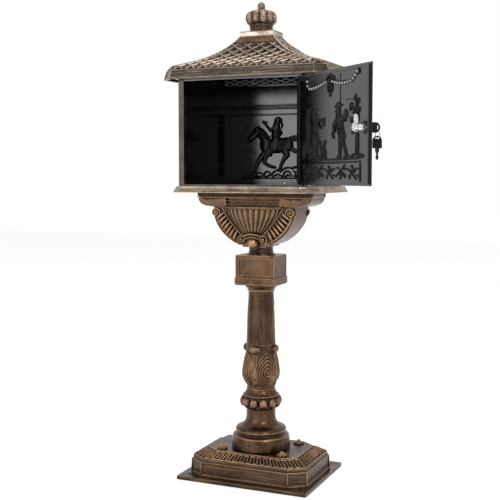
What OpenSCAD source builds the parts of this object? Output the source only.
/* [Ground base] */
// Width of the flat ground plate
plate_w = 331; // [280:1:400]
// Depth of the flat ground plate
plate_d = 260; // [220:1:320]
// Thickness of the flat ground plate
plate_t = 8.8; // [6:0.1:12]
// Width between the two anchor-hole columns
anchor_x = 286; // [240:1:360]
// Depth between the two anchor-hole rows
anchor_y = 208; // [180:1:280]
// Diameter of each anchor hole
anchor_hole = 10; // [8:0.5:14]
// Height of the deck that the column stands on
deck_z = 66.5; // [50:0.5:90]

/* [Column] */
// Radius of the bore through the column castings
bore_r = 26; // [10:0.5:28]
// Radius of the threaded tie rod
rod_r = 6; // [4:0.5:10]
// Height of the underside of the square block
block_z = 468; // [420:1:520]
// Height of the top of the square block
block_top = 539.5; // [500:1:580]
// Width of the square block
block_w = 99; // [80:1:120]
// Depth of the square block
block_d = 82; // [70:1:110]

/* [Console] */
// Half the width of the console's curved body at its top
console_a = 105; // [90:1:125]
// Half the width of the console's moulded cap
console_cap = 149; // [130:1:170]
// Half the depth of the console, front to back
console_b = 43; // [35:1:60]

/* [Box] */
// Height of the underside of the floor tray
tray_z = 691.4; // [650:0.1:720]
// Thickness of the floor tray at its lip
tray_h = 14.6; // [8:0.1:20]
// Half the width of the floor tray's lip
tray_a = 186.6; // [170:0.1:220]
// Half the depth of the floor tray's lip
tray_b = 125; // [110:0.5:160]
// Half the width of the box body
box_a = 163; // [140:0.5:200]
// Outer face of the front posts, towards the door side
front_y = -115; // [-150:0.5:-90]
// Outer face of the street-side wall
back_y = 118.5; // [90:0.5:150]
// Height of the top of the walls, where the roof sits
eave_z = 957; // [900:1:1000]
// Wall thickness of the box castings
wall_t = 3.5; // [2.5:0.1:6]
// Width of each front post
post_w = 13; // [8:0.5:20]

/* [Roof] */
// Half the width of the eave
eave_a = 205.6; // [180:0.1:240]
// Half the depth of the eave
eave_b = 130; // [110:0.5:170]
// Height of the upright band around the eave
fascia_h = 20; // [10:0.5:30]
// Height of the top of the roof slopes
ridge_z = 1058; // [1030:1:1090]
// Thickness of the roof casting
roof_t = 4; // [3:0.1:6]

/* [Door] */
// How far the door stands open in the drawn position
door_open = 138.9; // [0:0.1:170]
// Distance from the hinge axis to the free edge
door_w = 295.6; // [250:0.1:320]
// Hinge axis, across
hinge_x = 146.6; // [120:0.1:160]
// Hinge axis, front to back
hinge_y = -119.5; // [-140:0.1:-100]
// Height of the door's lower edge
door_z0 = 711; // [700:0.1:730]
// Height of the door's upper edge
door_z1 = 951.6; // [920:0.1:970]
// Distance of the lock from the hinge axis
lock_u = 278; // [220:1:280]
// Height of the lock
lock_z = 826; // [780:1:880]
// Reach of the lock's cam from the lock's axis
cam_reach = 25.5; // [20:0.5:26]

/* [Mail slot] */
// Width of the slot in the street-side wall
slot_w = 262; // [200:1:290]
// Height of the slot's lower edge
slot_z0 = 884; // [860:1:900]
// Height of the slot's upper edge
slot_z1 = 911; // [900:1:925]
// Height of the flap's pivot
flap_z = 918; // [910:0.1:932]

/* [Hidden] */
$fn = 96;
bronze = [0.36, 0.27, 0.2];
black = [0.1, 0.1, 0.11];
steel = [0.7, 0.71, 0.73];
tray_top = tray_z + tray_h;
foot_top = 163;
bead_top = 213;
vase_top = 323;
ros_x = 78;
ros_y = 57;
bolt_x = 120;
bolt_y = 26;
lug_x = 153;
lug_y = 60;
lock_x = hinge_x - lock_u;
door_front = hinge_y + 2;
door_step = door_front + 4;
door_back = door_front + 9;
flap_y = back_y + 4;
pin_r = 2.5;
run = 0.06;
knuckle = 18;
lock_end = door_back + 16;
cam_t = 2.4;
key_end = door_front - 28.5;
key_y = key_end + 5.6;
ring_r = 7.6;
ring_drop = 4.6 + ring_r;
wire_r = 0.7;

// A chamfered rectangle, as eight corners counter-clockwise from above
function oct(a, b, c, e, z) = [[a - c, -b, z], [a, -b + e, z], [a, b - e, z], [a - c, b, z],
  [-a + c, b, z], [-a, b - e, z], [-a, -b + e, z], [-a + c, -b, z]];

// A solid through level rings, each ring as [z, half width, half depth, chamfer x, chamfer y]
module loft8(L) {
  n = len(L);
  pts = [for (l = L) for (p = oct(l[1], l[2], l[3], l[4], l[0])) p];
  low = [for (i = [0:n - 2]) for (j = [0:7]) [i * 8 + j, i * 8 + j + 8, i * 8 + (j + 1) % 8 + 8]];
  high = [for (i = [0:n - 2]) for (j = [0:7]) [i * 8 + j, i * 8 + (j + 1) % 8 + 8, i * 8 + (j + 1) % 8]];
  cap0 = [[0, 1, 2, 3, 4, 5, 6, 7]];
  cap1 = [[for (j = [7:-1:0]) (n - 1) * 8 + j]];
  polyhedron(points = pts, faces = concat(low, high, cap0, cap1), convexity = 6);
}

module block(x0, x1, y0, y1, z0, z1) {
  translate([x0, y0, z0]) cube([x1 - x0, y1 - y0, z1 - z0]);
}

module four(x, y) {
  for (sx = [-1, 1]) for (sy = [-1, 1]) translate([sx * x, sy * y, 0]) children();
}

// A cylinder along Y from y0 to y1
module ycyl(x, z, y0, y1, r) {
  translate([x, y0, z]) rotate([-90, 0, 0]) cylinder(h = y1 - y0, r = r);
}

// A cylinder along X from x0 to x1
module xcyl(y, z, x0, x1, r) {
  translate([x0, y, z]) rotate([0, 90, 0]) cylinder(h = x1 - x0, r = r);
}

module swing() {
  translate([hinge_x, hinge_y, 0]) rotate([0, 0, door_open]) translate([-hinge_x, -hinge_y, 0])
    children();
}

module base_casting() color(bronze) difference() {
  union() {
    translate([0, 0, plate_t / 2]) cube([plate_w, plate_d, plate_t], center = true);
    loft8([[plate_t - 1, 151, 107, 38, 27], [13, 149.5, 105.5, 37.5, 26.5], [40, 149, 105, 37.5, 26.5],
      [42, 147, 103, 37, 26], [48, 147, 103, 37, 26], [50, 146, 102, 36.8, 25.8], [51, 144, 100, 36.4, 25.4],
      [50.6, 142.6, 98.6, 36.2, 25.2], [48.4, 142, 98, 36, 25], [deck_z - 3.9, 118, 80, 32.5, 23.5],
      [deck_z - 0.4, 116.4, 78.4, 32, 23], [deck_z, 115, 77, 31.6, 22.6]]);
  }
  loft8([[-1, 145, 101, 36, 25], [40, 143, 99, 36, 25], [44, 141, 97, 35, 24],
    [deck_z - 7, 111, 73, 30, 21], [deck_z - 6, 108, 71, 30, 21]]);
  four(anchor_x / 2, anchor_y / 2) translate([0, 0, -1]) cylinder(h = plate_t + 2, r = anchor_hole / 2);
  four(ros_x, ros_y) translate([0, 0, 40]) cylinder(h = 40, r = 3.05);
  translate([0, 0, 40]) cylinder(h = 40, r = rod_r + 1);
}

module tie_plate() color(steel) difference() {
  translate([0, 0, deck_z - 8.5]) cube([172, 128, 5], center = true);
  four(ros_x, ros_y) translate([0, 0, 40]) cylinder(h = 40, r = 3.05);
  translate([0, 0, 40]) cylinder(h = 40, r = rod_r + 0.06);
}

module rosette_caps() color(bronze) four(ros_x, ros_y) {
  translate([0, 0, deck_z]) rotate_extrude()
    polygon([[0, 0], [10.5, 0], [10.5, 2], [9, 4], [6, 5], [5, 9.5], [2.6, 12.6], [0, 13]]);
  for (i = [0:4]) rotate([0, 0, i * 72 + 18]) translate([7.2, 0, deck_z + 3.4]) sphere(r = 3);
  translate([0, 0, deck_z - 19]) cylinder(h = 20, r = 3);
}

module hexnut(af, h, r) difference() {
  cylinder(h = h, r = af / sqrt(3), $fn = 6);
  translate([0, 0, -1]) cylinder(h = h + 2, r = r);
}

module rosette_nuts() color(steel) four(ros_x, ros_y)
  translate([0, 0, deck_z - 16]) hexnut(10, 5, 3.05);

module column_foot() color(bronze) difference() {
  rotate_extrude() polygon([[0, deck_z], [70, deck_z], [71.7, deck_z + 2], [71.2, 92], [70.2, 96], [68.6, 100],
    [65, 102], [62, 103], [60.4, 105], [61.8, 108], [62, 112], [60.4, 116], [57.4, 119.4], [52, 121.4], [46, 124],
    [41, 128.5], [38, 133], [36.2, 139], [36, foot_top], [0, foot_top]]);
  translate([0, 0, deck_z - 1]) cylinder(h = 120, r = bore_r);
  translate([0, 0, deck_z - 1]) cylinder(h = 36, r = 54);
}

module bead_ring() color(bronze) difference() {
  union() {
    rotate_extrude() polygon([[0, foot_top], [37.5, foot_top], [39.5, 165.5], [42, 168], [43, 176], [44, 190], [45, 193],
      [45, 196], [42.5, 199], [38, 204], [35.6, 209], [35.2, bead_top], [0, bead_top]]);
    for (i = [0:11]) rotate([0, 0, i * 30]) translate([41.6, 0, 180]) sphere(r = 10.3);
  }
  translate([0, 0, 150]) cylinder(h = 80, r = bore_r);
}

module leaf_vase() color(bronze) difference() {
  union() {
    rotate_extrude() polygon([[0, bead_top], [35.2, bead_top], [34.4, 218], [34.8, 224], [38, 232], [41, 242], [42, 252],
      [40.5, 264], [38, 278], [36.8, 292], [36.4, 306], [36.8, 308], [36, vase_top], [0, vase_top]]);
    for (i = [0:3]) {
      rotate([0, 0, i * 90]) translate([34, 0, 313.8]) sphere(r = 8.8);
      rotate([0, 0, i * 90 + 45]) translate([32.5, 0, 250]) sphere(r = 14);
    }
  }
  translate([0, 0, 150]) cylinder(h = 200, r = bore_r);
}

module column_shaft() color(bronze) difference() {
  rotate_extrude() polygon([[0, vase_top], [36, vase_top], [35.6, 326], [35, 336], [33.6, 389], [30.7, 447], [30.9, 452],
    [32, 456], [34.4, 460], [36.5, 462], [38.5, 465], [39, block_z], [0, block_z]]);
  translate([0, 0, 150]) cylinder(h = 400, r = bore_r);
  xcyl(0, 413, 25, 36, 2.05);
}

module set_screw() color(steel) difference() {
  xcyl(0, 413, 29, 33.8, 2);
  translate([31.5, 0, 413]) rotate([0, 90, 0]) cylinder(h = 4, r = 1.2, $fn = 6);
}

module die_block() color(bronze) difference() {
  union() {
    block(-block_w / 2, block_w / 2, -block_d / 2, block_d / 2, block_z + 17, block_top);
    block(-block_w / 2 - 2, block_w / 2 + 2, -block_d / 2 - 2, block_d / 2 + 2, block_z + 3, block_z + 17);
    block(-block_w / 2, block_w / 2, -block_d / 2, block_d / 2, block_z, block_z + 3);
  }
  for (s = [-1, 1]) translate([0, s * block_d / 2, (block_z + 18 + block_top) / 2])
    cube([block_w - 18, 5, 38], center = true);
  translate([0, 0, block_z - 1]) cylinder(h = 90, r = bore_r);
  block(-block_w / 2 + 8, block_w / 2 - 8, -block_d / 2 + 8, block_d / 2 - 8, block_z + 8, block_top - 5);
}

module tie_rod() color(steel) translate([0, 0, deck_z - 28]) cylinder(h = 566, r = rod_r);

module rod_nuts() color(steel) {
  translate([0, 0, deck_z - 23.6]) hexnut(19, 10, rod_r + 0.06);
  translate([0, 0, 585.1]) hexnut(19, 10, rod_r + 0.06);
}

module rod_washers() color(steel) {
  translate([0, 0, deck_z - 13.5]) difference() {
    cylinder(h = 2.4, r = 16);
    translate([0, 0, -1]) cylinder(h = 5, r = rod_r + 0.06);
  }
  translate([0, 0, 582.5]) difference() {
    cylinder(h = 2.5, r = 16);
    translate([0, 0, -1]) cylinder(h = 5, r = rod_r + 0.06);
  }
}

// Outline of the console, from the neck round to the moulded cap
function bowl(a, b, k) = [for (i = [0:k]) let (t = 20 + 70 * i / k) [a * sin(t), 656 - b * cos(t)]];
function ovolo(a, k) = [for (i = [0:k]) let (t = 90 * i / k) [a - 33 * (1 - sin(t)), 657 + 22 * (1 - cos(t))]];

module console_2d(a, cap) {
  right = concat([[29, 561], [31, 566]], bowl(a, 96, 18), [[a + 4, 656]], ovolo(cap - 5, 12),
    [[cap - 3, 681], [cap - 1, 686], [cap, tray_z]]);
  left = [for (i = [len(right) - 1:-1:0]) [-right[i][0], right[i][1]]];
  polygon(concat(right, left));
}

module console() color(bronze) difference() {
  union() {
    translate([0, console_b, 0]) rotate([90, 0, 0]) linear_extrude(2 * console_b)
      console_2d(console_a, console_cap);
    rotate_extrude() polygon([[0, block_top], [36, block_top], [35, 542.5], [31, 545], [29.4, 549], [29, 556],
      [29, 575], [0, 575]]);
    for (s = [-1, 1]) {
      block(-console_cap, console_cap, s * console_b - 2, s * console_b + 2, 682, tray_z);
      translate([0, 0, 562]) for (x = [-20, 0, 20]) translate([x * 1.4, s * (console_b - 1), abs(x) * 0.8])
        sphere(r = x == 0 ? 12 : 9);
      for (sx = [-1, 1]) ycyl(sx * 97, 643, s > 0 ? console_b - 2 : -console_b - 3,
        s > 0 ? console_b + 3 : -console_b + 2, 11);
    }
  }
  intersection() {
    translate([0, console_b - 6, 0]) rotate([90, 0, 0]) linear_extrude(2 * console_b - 12)
      console_2d(console_a - 8, console_cap - 12);
    block(-95, 95, -60, 60, 582.5, 700);
  }
  translate([0, 0, 530]) cylinder(h = 80, r = rod_r + 0.3);
  four(bolt_x, bolt_y) translate([0, 0, 668]) cylinder(h = 40, r = 3.05);
}

module console_bolts() color(steel) four(bolt_x, bolt_y) {
  translate([0, 0, tray_top]) cylinder(h = 4, r = 10 / sqrt(3), $fn = 6);
  translate([0, 0, 670]) cylinder(h = tray_top - 669, r = 3);
}

module floor_tray() color(bronze) difference() {
  union() {
    loft8([[tray_z, tray_a, tray_b, 26, 26], [tray_z + 2, tray_a, tray_b, 26, 26],
      [tray_z + 10, tray_a - 4, tray_b - 4, 25, 25], [tray_top, tray_a - 6, tray_b - 4.4, 25, 25]]);
  }
  for (s = [-1, 1]) {
    block(s > 0 ? 153 : -176, s > 0 ? 176 : -153, -90, 90, tray_z - 1, tray_top - 4);
    block(-146, 146, s > 0 ? 50 : -112, s > 0 ? 112 : -50, tray_z - 1, tray_top - 4);
  }
  block(-85, 85, -36, 36, tray_z - 1, tray_top - 5);
  four(bolt_x, bolt_y) translate([0, 0, 680]) cylinder(h = 40, r = 3.05);
  four(lug_x, lug_y) translate([0, 0, 690]) cylinder(h = 20, r = 2.05);
  for (s = [-1, 1]) translate([s * 60, 40, 690]) cylinder(h = 20, r = 2.5);
  translate([hinge_x, hinge_y, tray_top - 5]) cylinder(h = 6, r = pin_r + run);
}

module front_frame() color(bronze) difference() {
  union() {
    for (s = [-1, 1]) {
      block(s > 0 ? box_a - post_w : -box_a, s > 0 ? box_a : -box_a + post_w, front_y, front_y + 12,
        tray_top, eave_z);
      for (z = [735, 880]) block(s > 0 ? 155.4 : -159.4, s > 0 ? 159.4 : -155.4, front_y + 11, front_y + 24,
        z, z + 50);
    }
    block(-box_a + 3.6, -box_a + post_w, front_y + 11, front_y + 22, lock_z - 12, lock_z + 12);
    block(-box_a, box_a, front_y, front_y + 12, tray_top, door_z0 - 0.5);
    block(-box_a, box_a, front_y, front_y + 12, door_z1 + 0.5, eave_z);
    for (z = [tray_top, door_z1 + 0.5]) {
      h = z == tray_top ? door_z0 - 0.5 - tray_top : eave_z - z;
      translate([hinge_x, hinge_y, z]) cylinder(h = h, r = 5);
      translate([hinge_x - 5, hinge_y, z]) cube([10, 6, h]);
    }
  }
  for (s = [-1, 1]) for (x = [4.2, 8.8]) translate([s * (box_a - x), front_y, 831])
    cube([1.6, 2, 236], center = true);
  translate([hinge_x, hinge_y, 700]) cylinder(h = 14, r = pin_r + run);
  translate([hinge_x, hinge_y, 940]) cylinder(h = 18, r = pin_r + run);
  for (s = [-1, 1]) for (z = [760, 905]) xcyl(front_y + 18, z, s > 0 ? 150 : -170, s > 0 ? 170 : -150, 2.05);
}

module side_wall() difference() {
  union() {
    block(box_a - wall_t, box_a, front_y + 12, back_y - wall_t, tray_top, eave_z);
    block(box_a - 15, box_a, -80, 80, tray_top, tray_top + 3);
    block(box_a - 15, box_a, -80, 80, eave_z - 3, eave_z);
    block(box_a - 13, box_a, back_y - wall_t - 3, back_y - wall_t, 730, 890);
    block(box_a - 1, box_a + 1.5, -84, 94, 735, 741);
    block(box_a - 1, box_a + 1.5, -84, 94, 925, 931);
    block(box_a - 1, box_a + 1.5, -84, -78, 735, 931);
    block(box_a - 1, box_a + 1.5, 88, 94, 735, 931);
  }
  for (s = [-1, 1]) translate([lug_x, s * lug_y, 700]) cylinder(h = 15, r = 2.05);
  for (s = [-1, 1]) translate([lug_x, s * lug_y, 945]) cylinder(h = 15, r = 2.05);
  for (z = [760, 860]) ycyl(154, z, back_y - 12, back_y - 2, 2.05);
  for (z = [760, 905]) xcyl(front_y + 18, z, 158, 162, 2.05);
}

module right_wall() color(bronze) side_wall();

module left_wall() color(bronze) mirror([1, 0, 0]) side_wall();

module back_wall() color(bronze) difference() {
  union() {
    block(-box_a, box_a, back_y - wall_t, back_y, tray_top, eave_z);
    block(-slot_w / 2 - 5, slot_w / 2 + 5, back_y - 1, back_y + 2, slot_z0 - 5, slot_z1 + 2);
    block(-slot_w / 2 - 4, slot_w / 2 + 4, back_y - wall_t - 1.5, back_y - 1, slot_z0 - 12, slot_z0 - 4);
    for (s = [-1, 1]) block(s > 0 ? 138 : -144, s > 0 ? 144 : -138, back_y - 1, flap_y + 3.4,
      flap_z - 3.4, flap_z + 3.4);
    block(-150, 150, back_y - 1, back_y + 1.5, 728, 734);
    block(-150, 150, back_y - 1, back_y + 1.5, 860, 866);
    block(-150, -144, back_y - 1, back_y + 1.5, 728, 866);
    block(144, 150, back_y - 1, back_y + 1.5, 728, 866);
  }
  block(-slot_w / 2, slot_w / 2, back_y - 12, back_y + 6, slot_z0, slot_z1);
  xcyl(flap_y, flap_z, -150, 150, 1.5 + run);
  for (s = [-1, 1]) for (z = [760, 860]) ycyl(s * 154, z, back_y - 5, back_y - 1, 2.05);
  ycyl(14.5, 712, back_y - 5, back_y + 3, 1.6);
}

module wall_screws() color(steel) {
  four(lug_x, lug_y) {
    translate([0, 0, tray_top + 3]) cylinder(h = 2, r = 3.6);
    translate([0, 0, tray_top - 6]) cylinder(h = 10, r = 2);
  }
  for (s = [-1, 1]) for (z = [760, 860]) {
    ycyl(s * 154, z, back_y - wall_t - 5, back_y - wall_t - 3, 3.6);
    ycyl(s * 154, z, back_y - wall_t - 4, back_y - 1.2, 2);
  }
  for (s = [-1, 1]) for (z = [760, 905]) {
    xcyl(front_y + 18, z, s > 0 ? 153.4 : -155.4, s > 0 ? 155.4 : -153.4, 3.6);
    xcyl(front_y + 18, z, s > 0 ? 154.5 : -161.8, s > 0 ? 161.8 : -154.5, 2);
  }
}

module hinge_pins() color(steel) {
  translate([hinge_x, hinge_y, tray_top - 4.8]) cylinder(h = 4.6 + door_z0 - tray_top + knuckle, r = pin_r);
  translate([hinge_x, hinge_y, door_z1 - knuckle]) cylinder(h = eave_z - 0.2 - door_z1 + knuckle, r = pin_r);
}

module flap_pin() color(steel) xcyl(flap_y, flap_z, -144, 144, 1.5);

// The roof's slopes as rings, drawn in by d on every side
function slopes(d, top) = [for (g = [[0, 1], [0.11, 0.885], [0.2, 0.7], [0.3, 0.53], [0.43, 0.37],
    [0.6, 0.225], [0.77, 0.115], [0.89, 0.05], [1, 0]])
  let (z = eave_z + fascia_h + (ridge_z - eave_z - fascia_h) * g[0])
  let (a = 43.6 + (eave_a - 5 - 43.6) * g[1], b = 28.5 + (eave_b - 5 - 28.5) * g[1])
  [z - (top ? 0 : d * 1.15), a - d * (1.3 - g[1]), b - d * (1.3 - g[1]), g[1] > 0.9 ? 24 : 3, g[1] > 0.9 ? 24 : 3]];

module roof() color(bronze) difference() {
  union() {
    loft8(concat([[eave_z, eave_a, eave_b, 26, 26], [eave_z + 2, eave_a, eave_b, 26, 26]], slopes(0, true)));
    block(-43, 43, -29.5, 29.5, ridge_z - 1, ridge_z + 13);
  }
  difference() {
    loft8(concat([[eave_z - 1, eave_a - 5, eave_b - 5, 24, 24]], slopes(roof_t, false)));
    difference() {
      block(-169, 169, -124.6, 121, eave_z - 2, eave_z + 60);
      block(-165, 165, -120.6, 117, eave_z + 8, eave_z + 61);
      block(-149, 149, -102, 102, eave_z - 3, eave_z + 61);
    }
  }
  translate([0, 0, ridge_z - 20]) cylinder(h = 50, r = 4.06);
  four(lug_x, lug_y) translate([0, 0, eave_z - 1]) cylinder(h = 13, r = 2.05);
}

module roof_screws() color(steel) four(lug_x, lug_y) {
  translate([0, 0, eave_z - 5]) cylinder(h = 2, r = 3.6);
  translate([0, 0, eave_z - 4]) cylinder(h = 11, r = 2);
}

module finial_crown() color(bronze) difference() {
  rotate_extrude() polygon([[0, 1071], [29, 1071], [29, 1073.5], [26.8, 1075], [27.6, 1077.5], [28.2, 1079],
    [26.4, 1081], [28, 1083], [28, 1086], [26.6, 1088], [30, 1090], [34.6, 1095], [37, 1101], [37.5, 1106],
    [36.6, 1111], [33.5, 1116], [29, 1119.5], [22, 1122], [12, 1123.2], [0, 1123.2]]);
  translate([0, 0, 1060]) cylinder(h = 60, r = 4.06);
}

module finial_tip() color(bronze) rotate_extrude() polygon([[0, 1123.2], [8.6, 1123.2], [9.4, 1126], [8.8, 1128.6],
  [9.4, 1131], [9, 1134], [7.4, 1138], [5, 1141.4], [2.4, 1142.9], [0, 1143]]);

module finial_stud() color(steel) translate([0, 0, 1044]) cylinder(h = 75.6, r = 4);

module finial_nut() color(steel) translate([0, 0, 1046.4]) hexnut(13, 6.4, 4.06);

module slot_flap() color(bronze) difference() {
  union() {
    block(-133, 133, back_y + 2.6, back_y + 5.1, slot_z0 - 6, flap_z);
    xcyl(flap_y, flap_z, -137.4, 137.4, 3);
    block(-126, 126, back_y + 4.6, back_y + 6.3, slot_z0 - 1, slot_z0 + 2);
    block(-126, 126, back_y + 4.6, back_y + 6.3, flap_z - 13, flap_z - 10);
  }
  xcyl(flap_y, flap_z, -150, 150, 1.5 + run);
}

module door_panel() color(bronze) swing() difference() {
  union() {
    block(hinge_x - door_w, hinge_x + 2.6, door_front, door_step, door_z0, door_z1);
    block(hinge_x - door_w + 3.5, hinge_x - 1.1, door_step - 1, door_back, door_z0 + 3.5, door_z1 - 3.5);
    for (z = [door_z0, door_z1 - knuckle]) translate([hinge_x, hinge_y, z]) cylinder(h = knuckle, r = 4);
    block(-114, 136, door_front - 1.5, door_front + 1, 720, 726);
    block(-114, 136, door_front - 1.5, door_front + 1, 936, 942);
    block(-114, -108, door_front - 1.5, door_front + 1, 720, 942);
    block(130, 136, door_front - 1.5, door_front + 1, 720, 942);
  }
  difference() {
    block(hinge_x - door_w + 8, hinge_x - 5.6, door_back - 3, door_back + 1, door_z0 + 8, door_z1 - 8);
    ycyl(lock_x, lock_z, door_back - 4, door_back + 2, 16);
  }
  ycyl(lock_x, lock_z, door_front - 2, door_back + 1, 9.5 + run);
  translate([hinge_x, hinge_y, 700]) cylinder(h = 270, r = pin_r + run);
  ycyl(0, 715.5, door_front - 2, door_back + 1, 1.6);
}

module lock_body() color(steel) swing() difference() {
  union() {
    ycyl(lock_x, lock_z, door_front - 2, door_front, 11.5);
    ycyl(lock_x, lock_z, door_front - 1, lock_end, 9.5);
  }
  ycyl(lock_x, lock_z, door_front - 3, lock_end + 1, 6 + run);
}

module lock_nut() color(steel) swing() difference() {
  translate([lock_x, door_back, lock_z]) rotate([-90, 0, 0]) cylinder(h = 5, r = 24 / sqrt(3), $fn = 6);
  ycyl(lock_x, lock_z, door_back - 1, door_back + 6, 9.5 + run);
}

module lock_plug() color(steel) swing() difference() {
  ycyl(lock_x, lock_z, door_front - 2, lock_end + 0.4 + cam_t, 6);
  block(lock_x - 1.1, lock_x + 1.1, door_front - 3, lock_end - 4.5, lock_z - 4.1, lock_z + 4.1);
  ycyl(lock_x, lock_z, lock_end - 3.6, lock_end + 5, 2.05);
}

// The cam points up while the door is unlocked
module lock_cam() color(steel) swing() difference() {
  union() {
    ycyl(lock_x, lock_z, lock_end + 0.4, lock_end + 0.4 + cam_t, 9);
    ycyl(lock_x, lock_z + cam_reach - 6, lock_end + 0.4, lock_end + 0.4 + cam_t, 6);
    block(lock_x - 6, lock_x + 6, lock_end + 0.4, lock_end + 0.4 + cam_t, lock_z, lock_z + cam_reach - 6);
  }
  ycyl(lock_x, lock_z, lock_end - 1, lock_end + 5, 6 + run);
}

module cam_screw() color(steel) swing() {
  ycyl(lock_x, lock_z, lock_end + 0.4 + cam_t, lock_end + 3.4 + cam_t, 8);
  ycyl(lock_x, lock_z, lock_end - 3.4, lock_end + 3, 2);
}

// A key in the YZ plane: the head's outer end at y = 0, the blade towards +y
module key_shape() difference() {
  union() {
    block(-1, 1, 20, 48, -3.6, 3.6);
    translate([0, 10.3, 0]) rotate([0, 90, 0]) cylinder(h = 3.6, r = 10.3, center = true);
    block(-1.8, 1.8, 10.3, 24.5, -10.3, 10.3);
  }
  intersection() {
    translate([0, 10.3, 0]) rotate([0, 90, 0]) cylinder(h = 10, r = 7.8, center = true);
    block(-5, 5, 2, 6.7, -9, 9);
  }
  for (i = [0:3]) translate([0, 31 + i * 4, 4.6]) rotate([45, 0, 0]) cube([4, 2.4, 2.4], center = true);
}

module door_key() color(black) swing() translate([lock_x, key_end, lock_z]) key_shape();

module key_ring() color(steel) swing() translate([lock_x, key_y, lock_z - ring_drop]) rotate([90, 0, 0])
  rotate_extrude() translate([ring_r, 0]) circle(r = wire_r, $fn = 24);

module spare_key() color(black) swing()
  translate([lock_x, key_y, lock_z - ring_drop - ring_r + 3.8]) rotate([-90, 0, 0]) key_shape();

base_casting();
tie_plate();
rosette_caps();
rosette_nuts();
column_foot();
bead_ring();
leaf_vase();
column_shaft();
die_block();
tie_rod();
rod_nuts();
rod_washers();
set_screw();
console();
console_bolts();
floor_tray();
front_frame();
left_wall();
right_wall();
back_wall();
wall_screws();
hinge_pins();
flap_pin();
roof();
roof_screws();
finial_crown();
finial_tip();
finial_stud();
finial_nut();
slot_flap();
door_panel();
lock_body();
lock_nut();
lock_plug();
lock_cam();
cam_screw();
door_key();
key_ring();
spare_key();
